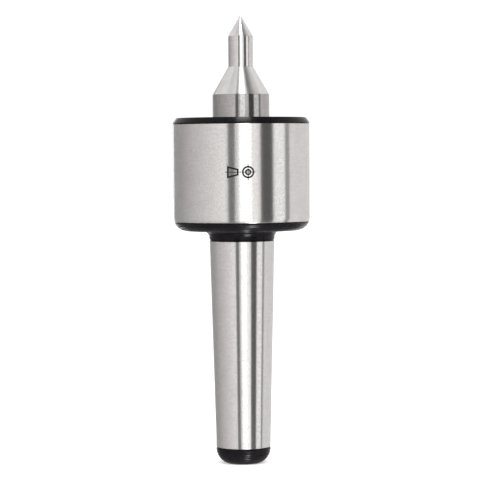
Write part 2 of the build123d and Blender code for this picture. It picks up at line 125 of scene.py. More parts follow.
studio = dict(
    floorSize=12.0,
    floorGrey="f6f6f5",
    floorGlow=0.42,  # lit from below as well, so that the shadow stays faint
    skyColour="ffffff",
    skyStrength=1.05,
    # azimuths go to the right from the camera's side, in degrees
    cardDistance=0.75,
    cardBottom=-0.36,
    cardTop=1.7,
    cardStep=4,  # degrees to one flat of a bent card
    softboxes=dict(
        key=dict(azimuth=6.5, distance=0.75, height=0.4, width=0.28, tall=2.6, power=2.05, tilt=0),
        rim=dict(azimuth=66, distance=0.75, height=-0.08, width=0.26, tall=1.0, power=0.28, tilt=0),
        overhead=dict(azimuth=8, distance=0.22, height=0.8, width=0.2, tall=0.2, power=3.0, tilt=-73),
        lowKicker=dict(azimuth=28, distance=0.27, height=-0.48, width=0.07, tall=0.26, power=4.4, tilt=63),
    ),
    underCard=dict(corners=48, radius=0.76, height=-0.36, grey="7c7b7a"),
    # the greys of a card go evenly from its start to its stop
    cards=dict(
        nearFlag=dict(start=-22, stop=-10.5, greys=("6c6b6a", "6c6b6a")),
        keyEdge=dict(start=20, stop=31.5, greys=("eeeded", "cfcecd")),
        sideFlag=dict(start=31.5, stop=53, greys=("504f4e", "504f4e")),
        farFlag=dict(start=77, stop=86, greys=("8c8b8a", "8c8b8a"), top=0.45),
        topFlag=dict(start=33, stop=110, greys=("5a5958", "e0dedd"), bottom=0.42, top=1.9, distance=0.7),
        leftWall=dict(start=-25, stop=-66, greys=("e4e3e3", "c6c4c4")),
        leftFarWall=dict(start=-66, stop=-120, greys=("c6c4c4", "979696"), top=0.35),
        behindLeftWall=dict(start=-120, stop=-156, greys=("979696", "8c8b8b"), top=0.3),
        backGlow=dict(start=-156, stop=-167, greys=("d8d7d7", "f4f3f3"), top=0.5),
        backFlag=dict(start=-167, stop=-175, greys=("5a5958", "5a5958"), top=0.5),
        backWall=dict(start=-175, stop=-179.5, greys=("f4f3f3", "eeeded"), top=0.5),
        rightWall=dict(start=87, stop=150, greys=("d5d3d3", "c4c3c3"), top=0.35),
        backRightWall=dict(start=150, stop=179.5, greys=("b4b3b3", "e4e3e3"), top=0.5),
    ),
)


def roundAzimuth(azimuth, distance, height):
    a = radians(azimuth)
    return (distance * sin(a), -distance * cos(a), height)


def addCard(name, c, s):
    # a card bent round the object, drawn along its foot and pulled up, with its greys painted on
    deselectAll()
    steps = max(2, round(abs(c["stop"] - c["start"]) / s["cardStep"]))
    bpy.ops.mesh.primitive_circle_add(vertices=3, radius=1 * mm, location=(0, 0, 0))
    card = bpy.context.object
    card.name = name
    bpy.ops.object.mode_set(mode="EDIT")
    bpy.ops.mesh.merge(type="CENTER")
    distance = c.get("distance", s["cardDistance"])
    low, high = c.get("bottom", s["cardBottom"]), c.get("top", s["cardTop"])
    foot = roundAzimuth(c["start"], distance, low)
    bpy.ops.transform.translate(value=foot)
    for i in range(1, steps + 1):
        azimuth = c["start"] + (c["stop"] - c["start"]) * i / steps
        nextFoot = roundAzimuth(azimuth, distance, low)
        step = [b - a for a, b in zip(foot, nextFoot)]
        bpy.ops.mesh.extrude_vertices_move(TRANSFORM_OT_translate={"value": step})
        foot = nextFoot
    bpy.ops.mesh.select_all(action="SELECT")
    bpy.ops.mesh.extrude_edges_move(TRANSFORM_OT_translate={"value": (0, 0, high - low)})
    deselectAll()
    first, last = (hexColour(grey) for grey in c["greys"])
    for i in range(steps):
        share = (i + 0.5) / steps
        grey = [a + (b - a) * share for a, b in zip(first, last)]
        card.data.materials.append(mattPaint(f"{name}Paint{i}", grey))
    for face in card.data.polygons:
        azimuth = degrees(atan2(face.center.x, -face.center.y))
        face.material_index = int((azimuth - c["start"]) / (c["stop"] - c["start"]) * steps)
    card.visible_camera = False
    card.visible_shadow = False
    card.visible_diffuse = False


def addUnderCard(u):
    # a dark card lying under the floor, which the undersides reflect
    deselectAll()
    bpy.ops.mesh.primitive_circle_add(
        vertices=u["corners"], radius=u["radius"], fill_type="NGON", location=(0, 0, u["height"])
    )
    card = bpy.context.object
    card.name = "underCard"
    card.data.materials.append(mattPaint("underCardPaint", hexColour(u["grey"])))
    card.visible_camera = False
    card.visible_shadow = False
    card.visible_diffuse = False


def addSoftbox(name, b):
    place = roundAzimuth(b["azimuth"], b["distance"], b["height"])
    turn = (pi / 2 + radians(b["tilt"]), 0, radians(b["azimuth"]))
    bpy.ops.object.light_add(type="AREA", location=place, rotation=turn)
    lamp = bpy.context.object
    lamp.name = name + "Softbox"
    lamp.data.shape = "RECTANGLE"
    lamp.data.size = b["width"]
    lamp.data.size_y = b["tall"]
    lamp.data.energy = b["power"]
    lamp.visible_camera = False


def buildStudio(s):
    deselectAll()
    bpy.ops.mesh.primitive_plane_add(size=s["floorSize"], location=(0, 0, cadBox[0][2]))
    floor = bpy.context.object
    floor.name = "paleFloor"
    bpy.ops.object.transform_apply(location=True)
    floor.data.materials.append(mattPaint("mattWhiteAcrylic", hexColour(s["floorGrey"]), s["floorGlow"]))
    floor.visible_glossy = False  # cards and lamps reach below it, and the shank reflects them to its end
    floor.visible_shadow = False
    world = bpy.data.worlds.new("softStudio")
    bpy.context.scene.world = world
    world.use_nodes = True
    sky = world.node_tree.nodes["Background"]
    sky.inputs["Color"].default_value = hexColour(s["skyColour"])
    sky.inputs["Strength"].default_value = s["skyStrength"]
    addUnderCard(s["underCard"])
    for name, c in s["cards"].items():
        addCard(name, c, s)
    for name, b in s["softboxes"].items():
        addSoftbox(name, b)


buildStudio(studio)
print("studio ready")


def turningLines(tree, place, across, along, distortion=0.0):
    # noise drawn out round the axis: across is the width of a line, and along is its length
    parts = addNode(tree, "ShaderNodeSeparateXYZ", None, {0: place})
    flat = addNode(tree, "ShaderNodeCombineXYZ", None, {0: parts.outputs[0], 1: parts.outputs[1]})
    radius = addNode(tree, "ShaderNodeVectorMath", {"operation": "LENGTH"}, {0: flat.outputs[0]})
    scale = (1 / along, 1 / along, 1 / across)
    stretch = addNode(tree, "ShaderNodeMapping", {"Scale": scale}, {"Vector": place})
    inwards = addNode(
        tree, "ShaderNodeMath", {"operation": "MULTIPLY", 1: 1 / across}, {0: radius.outputs["Value"]}
    )
    return addNode(
        tree,
        "ShaderNodeTexNoise",
        {"noise_dimensions": "4D", "Scale": 1.0, "Detail": 2.0, "Distortion": distortion},
        {"Vector": stretch.outputs[0], "W": inwards.outputs[0]},
    ).outputs[0]


def groundSteel(name, m):
    # alloy steel, cylindrically ground: bright, with fine lines round the axis that pull each reflection
    # out along it, a faint speckle from the wheel's grit, and barely darker blotches
    material, tree = emptyMaterial(name)
    place = addNode(tree, "ShaderNodeTexCoord").outputs["Object"]
    lines = turningLines(tree, place, m["lineWidth"], m["lineLength"])
    noise = {"Scale": 1 / m["blotch"], "Detail": 3.0, "Roughness": 0.6}
    blotches = addNode(tree, "ShaderNodeTexNoise", noise, {"Vector": place})
    speckle = {"Scale": 1 / m["grit"], "Detail": 1.0}
    grit = addNode(tree, "ShaderNodeTexNoise", speckle, {"Vector": place})
    relief = addNode(
        tree,
        "ShaderNodeMath",
        {"operation": "MULTIPLY_ADD", 1: m["gritShare"]},
        {0: grit.outputs[0], 2: lines},
    )
    deepest, highest = (height * (1 + m["gritShare"]) for height in (0.35, 0.65))  # noise seldom goes past
    shade = addNode(
        tree,
        "ShaderNodeMapRange",
        {"From Min": deepest, "From Max": highest},
        {"Value": relief.outputs[0]},
    )
    lined = addNode(
        tree,
        "ShaderNodeMix",
        {"data_type": "RGBA", 6: hexColour(m["dark"]), 7: hexColour(m["light"])},
        {0: shade.outputs[0]},
    )
    share = addNode(
        tree,
        "ShaderNodeMapRange",
        {"From Min": 0.4, "From Max": 0.75, "To Max": m["stain"]},
        {"Value": blotches.outputs[0]},
    )
    colour = addNode(
        tree,
        "ShaderNodeMix",
        {"data_type": "RGBA", 7: hexColour(m["stainColour"])},
        {0: share.outputs[0], 6: lined.outputs[2]},
    )
    rough = addNode(
        tree,
        "ShaderNodeMapRange",
        {"To Min": m["roughness"] - m["roughVary"], "To Max": m["roughness"] + m["roughVary"]},
        {"Value": lines},
    )
    bump = addNode(tree, "ShaderNodeBump", {"Distance": m["lineDepth"]}, {"Height": relief.outputs[0]})
    grain = addNode(tree, "ShaderNodeTangent", {"direction_type": "RADIAL", "axis": "Z"})
    shader = addNode(
        tree,
        "ShaderNodeBsdfPrincipled",
        {"Metallic": 1.0, "Anisotropic": m["anisotropy"], "Anisotropic Rotation": 0.25},
        {
            "Base Color": colour.outputs[2],
            "Roughness": rough.outputs[0],
            "Normal": bump.outputs[0],
            "Tangent": grain.outputs[0],
        },
    )
    addNode(tree, "ShaderNodeOutputMaterial", None, {"Surface": shader.outputs[0]})
    return material


headGrind = dict(
    dark="b9b7b6",
    light="d4d2d1",
    stainColour="b8b5b4",
    stain=0.3,
    blotch=6 * mm,
    lineWidth=0.3 * mm,  # real wheel marks are about 0.03 mm wide, drawn coarser so that they show
    lineLength=5 * mm,
    lineDepth=0.0007 * mm,
    grit=0.5 * mm,  # real grit marks are about 0.1 mm apart, drawn coarser so that they show
    gritShare=5,  # how many times the lines' depth the grit's is
    roughness=0.2,
    roughVary=0.02,
    anisotropy=0.85,
)
pinGrind = dict(headGrind, roughness=0.17, lineWidth=0.2 * mm)
noseGrind = dict(pinGrind, dark="979594", light="b0aead", stainColour="918f8e", gritShare=8)
coneGrind = dict(pinGrind, dark="cecdcc", light="d7d6d5", roughness=0.25, lineDepth=0.0005 * mm)
bearingGrind = dict(headGrind, roughness=0.22, stain=0.1, lineDepth=0.0005 * mm, anisotropy=0.5)

groundAlloySteel = groundSteel("groundAlloySteel", headGrind)
fineGroundToolSteel = groundSteel("fineGroundToolSteel", pinGrind)  # the pin
taperGroundToolSteel = groundSteel("taperGroundToolSteel", coneGrind)  # both cones
plungeGroundToolSteel = groundSteel("plungeGroundToolSteel", noseGrind)  # the nose and the journals
groundBearingSteel = groundSteel("groundBearingSteel", bearingGrind)


def blackOxideSteel(name, m):
    # steel turned and then blacked in hot caustic: near black and oily, with broken glints along the
    # feed marks
    material, tree = emptyMaterial(name)
    place = addNode(tree, "ShaderNodeTexCoord").outputs["Object"]
    lines = turningLines(tree, place, m["feed"], m["lineLength"], 1.0)
    noise = {"Scale": 1 / m["blotch"], "Detail": 3.0, "Roughness": 0.6}
    blotches = addNode(tree, "ShaderNodeTexNoise", noise, {"Vector": place})
    share = addNode(
        tree, "ShaderNodeMapRange", {"From Min": 0.35, "From Max": 0.7}, {"Value": blotches.outputs[0]}
    )
    colour = addNode(
        tree,
        "ShaderNodeMix",
        {"data_type": "RGBA", 6: hexColour(m["black"]), 7: hexColour(m["brownBlack"])},
        {0: share.outputs[0]},
    )
    rough = addNode(
        tree,
        "ShaderNodeMapRange",
        {
            "From Min": 0.3,
            "From Max": 0.7,
            "To Min": m["roughness"] - m["roughVary"],
            "To Max": m["roughness"] + m["roughVary"],
        },
        {"Value": blotches.outputs[0]},
    )
    bump = addNode(tree, "ShaderNodeBump", {"Distance": m["feedDepth"]}, {"Height": lines})
    grain = addNode(tree, "ShaderNodeTangent", {"direction_type": "RADIAL", "axis": "Z"})
    shader = addNode(
        tree,
        "ShaderNodeBsdfPrincipled",
        {
            "Metallic": 0.0,
            "IOR": 1.5,
            "Specular IOR Level": m["gloss"],
            "Anisotropic": m["anisotropy"],
            "Anisotropic Rotation": 0.25,
        },
        {
            "Base Color": colour.outputs[2],
            "Roughness": rough.outputs[0],
            "Normal": bump.outputs[0],
            "Tangent": grain.outputs[0],
        },
    )
    addNode(tree, "ShaderNodeOutputMaterial", None, {"Surface": shader.outputs[0]})
    return material


turnedBlackOxide = blackOxideSteel(
    "turnedBlackOxide",
    dict(
        black="0a0a0b",
        brownBlack="120f12",
        gloss=0.09,
        blotch=2.5 * mm,
        feed=0.6 * mm,  # real feed marks are about 0.2 mm apart, drawn coarser so that they show
        lineLength=10 * mm,
        feedDepth=0.02 * mm,
        roughness=0.2,
        roughVary=0.05,
        anisotropy=0.5,
    ),
)


def plainMetal(name, m):
    # metal with an even grain and a little darker in the blotches
    material, tree = emptyMaterial(name)
    place = addNode(tree, "ShaderNodeTexCoord").outputs["Object"]
    noise = {"Scale": 1 / m["grain"], "Detail": 4.0, "Roughness": 0.6}
    grain = addNode(tree, "ShaderNodeTexNoise", noise, {"Vector": place})
    share = addNode(
        tree, "ShaderNodeMapRange", {"From Min": 0.3, "From Max": 0.7}, {"Value": grain.outputs[0]}
    )
    colour = addNode(
        tree,
        "ShaderNodeMix",
        {"data_type": "RGBA", 6: hexColour(m["dark"]), 7: hexColour(m["light"])},
        {0: share.outputs[0]},
    )
    rough = addNode(
        tree,
        "ShaderNodeMapRange",
        {"To Min": m["roughness"] - m["roughVary"], "To Max": m["roughness"] + m["roughVary"]},
        {"Value": share.outputs[0]},
    )
    bump = addNode(tree, "ShaderNodeBump", {"Distance": m["depth"]}, {"Height": grain.outputs[0]})
    shader = addNode(
        tree,
        "ShaderNodeBsdfPrincipled",
        {"Metallic": 1.0},
        {"Base Color": colour.outputs[2], "Roughness": rough.outputs[0], "Normal": bump.outputs[0]},
    )
    addNode(tree, "ShaderNodeOutputMaterial", None, {"Surface": shader.outputs[0]})
    return material


# chrome steel balls and needles, lapped: mirror bright
lapped = dict(dark="c9c8c8", light="d6d6d7", grain=1 * mm, depth=0.0002 * mm, roughness=0.08, roughVary=0.02)
lappedBearingSteel = plainMetal("lappedBearingSteel", lapped)
# cold rolled sheet, pressed: dull grey with a soft sheen
pressed = dict(
    dark="9b9893", light="b5b2ac", grain=0.6 * mm, depth=0.004 * mm, roughness=0.36, roughVary=0.04
)
pressedSteelSheet = plainMetal("pressedSteelSheet", pressed)
# zinc plated sheet: a little bluer and brighter
zincPlated = dict(
    dark="b0b4b8", light="cdd0d2", grain=0.8 * mm, depth=0.003 * mm, roughness=0.3, roughVary=0.04
)
zincPlatedSheet = plainMetal("zincPlatedSheet", zincPlated)
# machined brass: warm yellow with fine marks
machined = dict(
    dark="b08d4a", light="cda964", grain=0.5 * mm, depth=0.003 * mm, roughness=0.28, roughVary=0.04
)
machinedBrass = plainMetal("machinedBrass", machined)
# spring steel, phosphated and oiled: dark grey and satin
phosphated = dict(
    dark="34312f", light="4a4643", grain=0.3 * mm, depth=0.005 * mm, roughness=0.42, roughVary=0.04
)
phosphatedSpringSteel = plainMetal("phosphatedSpringSteel", phosphated)


def woolFelt(name, m):
    # wool fibres pressed into a ring and oiled: soft and matt, with short crossing fibres and yellow patches
    material, tree = emptyMaterial(name)
    place = addNode(tree, "ShaderNodeTexCoord").outputs["Object"]
    noise = {"Scale": 1 / m["fibre"], "Detail": 6.0, "Distortion": 2.0}
    fibres = addNode(tree, "ShaderNodeTexNoise", noise, {"Vector": place})
    tufts = addNode(tree, "ShaderNodeTexNoise", {"Scale": 1 / m["tuft"], "Detail": 3.0}, {"Vector": place})
    wool = addNode(
        tree,
        "ShaderNodeMix",
        {"data_type": "RGBA", 6: hexColour(m["shade"]), 7: hexColour(m["wool"])},
        {0: fibres.outputs[0]},
    )
    share = addNode(
        tree,
        "ShaderNodeMapRange",
        {"From Min": 0.4, "From Max": 0.7, "To Max": 0.4},
        {"Value": tufts.outputs[0]},
    )
    colour = addNode(
        tree,
        "ShaderNodeMix",
        {"data_type": "RGBA", 7: hexColour(m["oiled"])},
        {0: share.outputs[0], 6: wool.outputs[2]},
    )
    bump = addNode(tree, "ShaderNodeBump", {"Distance": m["depth"]}, {"Height": fibres.outputs[0]})
    shader = addNode(
        tree,
        "ShaderNodeBsdfPrincipled",
        {"Roughness": 0.95, "Sheen Weight": 0.5, "Sheen Roughness": 0.5, "Specular IOR Level": 0.2},
        {"Base Color": colour.outputs[2], "Normal": bump.outputs[0]},
    )
    addNode(tree, "ShaderNodeOutputMaterial", None, {"Surface": shader.outputs[0]})
    return material


pressedWoolFelt = woolFelt(
    "pressedWoolFelt",
    # fibres are about 0.03 mm thick, drawn coarser so that they show
    dict(shade="8d8474", wool="cfc7b6", oiled="a8905f", fibre=0.12 * mm, tuft=1.5 * mm, depth=0.05 * mm),
)


def laserBlack(name, m):
    # steel darkened by a marking laser: matt black oxide, brown in spots
    material, tree = emptyMaterial(name)
    place = addNode(tree, "ShaderNodeTexCoord").outputs["Object"]
    noise = {"Scale": 1 / m["spot"], "Detail": 2.0}
    spots = addNode(tree, "ShaderNodeTexNoise", noise, {"Vector": place})
    share = addNode(
        tree, "ShaderNodeMapRange", {"From Min": 0.4, "From Max": 0.7}, {"Value": spots.outputs[0]}
    )
    colour = addNode(
        tree,
        "ShaderNodeMix",
        {"data_type": "RGBA", 6: hexColour(m["black"]), 7: hexColour(m["brown"])},
        {0: share.outputs[0]},
    )
    bump = addNode(tree, "ShaderNodeBump", {"Distance": m["depth"]}, {"Height": spots.outputs[0]})
    shader = addNode(
        tree,
        "ShaderNodeBsdfPrincipled",
        {"Roughness": 0.7, "Specular IOR Level": 0.2},
        {"Base Color": colour.outputs[2], "Normal": bump.outputs[0]},
    )
    addNode(tree, "ShaderNodeOutputMaterial", None, {"Surface": shader.outputs[0]})
    return material


# laser spots are about 0.05 mm wide, drawn coarser so that they show
spotting = dict(black="0a0909", brown="191614", spot=0.15 * mm, depth=0.004 * mm)
laserMarkedSteel = laserBlack("laserMarkedSteel", spotting)
print("materials ready")


def startPiece(name, point):
    # one vertex to draw an outline from
    deselectAll()
    bpy.ops.mesh.primitive_circle_add(vertices=3, radius=1 * mm, location=(0, 0, 0))
    piece = bpy.context.object
    piece.name = name
    piece.data.name = name
    bpy.ops.object.mode_set(mode="EDIT")
    bpy.ops.mesh.select_mode(type="VERT")
    bpy.ops.mesh.merge(type="CENTER")
    bpy.ops.transform.translate(value=(point[0], 0, point[1]))
    return piece


def latheTurn(name, outline, steps, closed):
    # the outline is (radius, height) points; it is drawn with extrudes and spun round the axis
    piece = startPiece(name, outline[0])
    route = outline + outline[:1] if closed else outline
    for (r0, z0), (r1, z1) in zip(route, route[1:]):
        bpy.ops.mesh.extrude_vertices_move(TRANSFORM_OT_translate={"value": (r1 - r0, 0, z1 - z0)})
    bpy.ops.mesh.select_all(action="SELECT")
    bpy.ops.mesh.remove_doubles(threshold=joined / 2)  # a closed outline ends where it starts
    bpy.ops.mesh.spin(steps=steps, angle=2 * pi, center=(0, 0, 0), axis=(0, 0, 1))
    bpy.ops.mesh.select_all(action="SELECT")
    bpy.ops.mesh.remove_doubles(threshold=joined)
    bpy.ops.mesh.normals_make_consistent(inside=False)
    bpy.ops.object.mode_set(mode="OBJECT")
    return piece


def selectFaces(piece, test):
    # test gets a face's middle as (radius, height)
    deselectAll()
    piece.select_set(True)
    bpy.context.view_layer.objects.active = piece
    bpy.ops.object.mode_set(mode="EDIT")
    bpy.ops.mesh.select_all(action="DESELECT")
    bpy.ops.mesh.select_mode(type="FACE")
    bpy.ops.object.mode_set(mode="OBJECT")
    for face in piece.data.polygons:
        face.select = test(hypot(face.center.x, face.center.y), face.center.z)
    bpy.ops.object.mode_set(mode="EDIT")


def finishFaces(piece, main, others=()):
    # main covers the piece, and each (material, test) in others takes the faces that pass its test
    piece.data.materials.append(main)
    for index, (material, test) in enumerate(others, 1):
        piece.data.materials.append(material)
        selectFaces(piece, test)
        piece.active_material_index = index
        bpy.ops.object.material_slot_assign()
        bpy.ops.object.mode_set(mode="OBJECT")


def shadeByAngle(piece, angle=25):
    deselectAll()
    piece.select_set(True)
    bpy.context.view_layer.objects.active = piece
    bpy.ops.object.shade_smooth_by_angle(angle=radians(angle))


def cutAway(piece, cutter):
    deselectAll()
    piece.select_set(True)
    bpy.context.view_layer.objects.active = piece
    cut = piece.modifiers.new("cut", "BOOLEAN")
    cut.operation = "DIFFERENCE"
    cut.solver = "EXACT"
    cut.object = cutter
    bpy.ops.object.modifier_apply(modifier=cut.name)
    bpy.data.objects.remove(cutter)
    bpy.ops.object.mode_set(mode="EDIT")
    bpy.ops.mesh.select_mode(type="VERT")
    bpy.ops.mesh.select_all(action="SELECT")
    bpy.ops.mesh.dissolve_degenerate(threshold=joined)  # slivers along the cut
    bpy.ops.object.mode_set(mode="OBJECT")


def arc(centre, radius, start, stop, steps):
    # points on a circle in the (radius, height) plane, angles in degrees
    points = []
    for i in range(steps + 1):
        a = radians(start + (stop - start) * i / steps)
        points.append((centre[0] + radius * cos(a), centre[1] + radius * sin(a)))
    return points


def top(node):
    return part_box(node)[1].z


def bottom(node):
    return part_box(node)[0].z


def outside(node):
    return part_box(node)[1].x


def finishPiece(piece, body, slotName, *nodes):
    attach(piece, body)
    if nodes:
        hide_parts(*nodes)


roundSteps = 192  # flats round a turned piece
joined = 0.001 * mm  # points nearer than this are one point


housing = dict(
    gaugeRadius=31.267 / 2 * mm,
    taper=1 / 19.254 / 2,  # on the radius
    groundTop=5 * mm,
    endLength=8 * mm,
    rearFaceRadius=8.3 * mm,
    reliefDepth=0.4 * mm,
    reliefWidth=0.9 * mm,
    headBottom=10 * mm,
    neckFillet=3.4 * mm,
    cornerRadius=6.5 * mm,
    ontoCorner=1.85 * mm,  # height of the corner that the wheel has ground as well
    endStraight=1 * mm,  # taper left on the blacked end
    rimChamfer=0.4 * mm,
    groundEdge=0.12 * mm,  # bright broken edge where the grinding stops
    centreAngle=radians(30),  # half of the centre drill's cone
    centreMouth=4.25 * mm,
    centrePilot=2 * mm,
    pilotDepth=4.8 * mm,
    seatGap=0.01 * mm,
    seatStepDrop=1 * mm,
    needlePocket=4 * mm,
    threadDepth=0.8 * mm,
    threadRadius=29 * mm,
    threadPitch=1.5 * mm,
    threadCut=0.6 * mm,
    threadRelief=1 * mm,
    drillHalfAngle=radians(59),
    ridgePitch=1.5 * mm,  # coarse turning marks left under the black oxide
    ridgeHeight=0.05 * mm,
    lockHoleRadius=1.55 * mm,
    lockHoleReach=8 * mm,
    blackMargin=1 * mm,  # keeps the black off the bore
)


def threadRings(radius, start, stop, pitch, depth):
    # the flanks of a thread, one groove for each turn, from start to stop along the axis; each flank
    # takes 0.4 of the pitch, and the crest and the root are the narrow flats between
    turns = int(abs(stop - start) / pitch)
    way = (stop - start) / abs(stop - start)
    made = []
    for i in range(turns):
        made.append((radius, start + way * pitch * (i + 0.06)))
        made.append((radius + depth, start + way * pitch * (i + 0.46)))
        made.append((radius + depth, start + way * pitch * (i + 0.54)))
        made.append((radius, start + way * pitch * (i + 0.94)))
    return made


def ridged(points, pitch, height):
    # the outline with shallow turning ridges, drawn with eight points to a ridge
    made, along = [], 0.0
    for (r0, z0), (r1, z1) in zip(points, points[1:]):
        length = hypot(r1 - r0, z1 - z0)
        count = max(1, round(length / (pitch / 8)))
        across = ((z1 - z0) / length, -(r1 - r0) / length)
        for i in range(count):
            share = i / count
            lift = height * sin(2 * pi * (along + share * length) / pitch)
            spot = (r0 + (r1 - r0) * share, z0 + (z1 - z0) * share)
            made.append((spot[0] + across[0] * lift, spot[1] + across[1] * lift))
        along += length
    return made + [points[-1]]


def tangentArc(start, stop, slope, steps):
    # an arc from start, leaving along slope, to stop
    dr, dz = stop[0] - start[0], stop[1] - start[1]
    size = hypot(*slope)
    normal = (-slope[1] / size, slope[0] / size)
    radius = (dr * dr + dz * dz) / (2 * (dr * normal[0] + dz * normal[1]))
    centre = (start[0] + normal[0] * radius, start[1] + normal[1] * radius)
    a0 = atan2(start[1] - centre[1], start[0] - centre[0])
    a1 = atan2(stop[1] - centre[1], stop[0] - centre[0])
    return arc(centre, abs(radius), degrees(a0), degrees(a1), steps)


def housingOutline(h):
    rear = bottom("body_shank")
    headTop = top("body_shank")
    headRadius = outside("body_shank")
    endTop = rear + h["endLength"]
    edge = h["groundEdge"]

    def taperRadius(z):
        return h["gaugeRadius"] + z * h["taper"]

    neck = taperRadius(h["groundTop"])
    roundTop = (taperRadius(endTop - h["endStraight"]), endTop - h["endStraight"])
    end = [(taperRadius(endTop) - edge, endTop - edge)]
    end += tangentArc(roundTop, (h["rearFaceRadius"], rear), (-h["taper"], -1), 12)
    ground = [(neck, h["groundTop"]), (taperRadius(endTop), endTop)]
    relief = [
        (neck, h["groundTop"] + h["reliefWidth"]),
        (neck - h["reliefDepth"], h["groundTop"] + h["reliefWidth"] - h["reliefDepth"] / 2),
        (neck - h["reliefDepth"], h["groundTop"] + h["reliefDepth"] / 2),
    ]
    corner = (headRadius - h["cornerRadius"], h["headBottom"] + h["cornerRadius"])
    fillet = (neck + h["neckFillet"], h["headBottom"] - h["neckFillet"])
    borderAngle = -degrees(asin(h["ontoCorner"] / h["cornerRadius"]))
    groundCorner = arc(corner, h["cornerRadius"], 0, borderAngle, 6)
    blackStart = degrees(asin((h["ontoCorner"] + edge) / h["cornerRadius"]))
    underside = arc(corner, h["cornerRadius"] - edge / 2, -blackStart, -90, 16)
    underside += arc(fillet, h["neckFillet"], 90, 180, 12)
    needleSeat = outside("needle_cup") + h["seatGap"]
    thrustSeat = outside("thrust_housing_washer") + h["seatGap"]
    frontSeat = outside("front_outer_ring") + h["seatGap"]
    floor = bottom("thrust_housing_washer")
    step = bottom("front_outer_ring") - h["seatStepDrop"]
    threadStart = bottom("front_cover") - h["threadRelief"]
    pocket = bottom("needle_cup") - h["needlePocket"]
    coneDepth = (h["centreMouth"] - h["centrePilot"]) / tan(h["centreAngle"])
    outer = [
        (headRadius - h["rimChamfer"], headTop),
        (headRadius, headTop - h["rimChamfer"]),
        *groundCorner,
    ]
    rearFace = [
        (h["centreMouth"], rear),
        (h["centrePilot"], rear + coneDepth),
        (h["centrePilot"], rear + coneDepth + h["pilotDepth"]),
        (0, rear + coneDepth + h["pilotDepth"] + h["centrePilot"] / tan(h["drillHalfAngle"])),
    ]
    bore = [
        (0, pocket - needleSeat / tan(h["drillHalfAngle"])),
        (needleSeat, pocket),
        (needleSeat, floor),
        (thrustSeat, floor),
        (thrustSeat, step),
        (frontSeat, step),
        (frontSeat, threadStart),
        (h["threadRadius"], threadStart),
        *threadRings(
            h["threadRadius"], threadStart, headTop - h["threadDepth"], h["threadPitch"], h["threadCut"]
        ),
        (h["threadRadius"], headTop - h["threadDepth"]),
        (h["threadRadius"] + h["threadDepth"], headTop),
    ]
    blackedCorner = ridged(underside + relief[:1], h["ridgePitch"], h["ridgeHeight"])
    blackedEnd = ridged(end, h["ridgePitch"], h["ridgeHeight"])
    return bore, outer + blackedCorner + relief[1:] + ground + blackedEnd + rearFace


def buildHousing(h):
    bore, skin = housingOutline(h)
    piece = latheTurn("housingBody", bore + skin, roundSteps, closed=False)
    headTop = top("body_shank")
    lockHeight = (bottom("front_cover") + headTop) / 2
    deselectAll()
    bpy.ops.mesh.primitive_cylinder_add(
        vertices=32,
        radius=h["lockHoleRadius"],
        depth=h["lockHoleReach"],
        location=(0, outside("body_shank"), lockHeight),
        rotation=(pi / 2, 0, 0),
    )
    cutter = bpy.context.object
    cutAway(piece, cutter)
    blackTop = h["headBottom"] + h["cornerRadius"] - h["ontoCorner"] - h["groundEdge"]
    blackBottom = h["groundTop"]
    endTop = bottom("body_shank") + h["endLength"] - h["groundEdge"]
    boreRadius = outside("needle_cup") + h["blackMargin"]

    def blacked(r, z):
        return z < endTop or blackBottom < z < blackTop and r > boreRadius

    finishFaces(piece, groundAlloySteel, [(turnedBlackOxide, blacked)])
    shadeByAngle(piece)
    finishPiece(piece, "housing", "ground_steel", "body_shank")
    return piece


housingBody = buildHousing(housing)
print("housing turned:", len(housingBody.data.polygons), "faces")


cover = dict(
    flangeChamferRadial=1.7 * mm,
    flangeChamferAxial=2.3 * mm,
    edge=0.12 * mm,
    lipGap=0.3 * mm,
    noseRadius=13.75 * mm,
    threadGap=0.05 * mm,
    threadChamfer=0.8 * mm,
    web=1.5 * mm,
    shieldGap=0.02 * mm,
    spannerRadius=2 * mm,
    spannerDepth=4.5 * mm,
    spannerEdge=0.3 * mm,
)


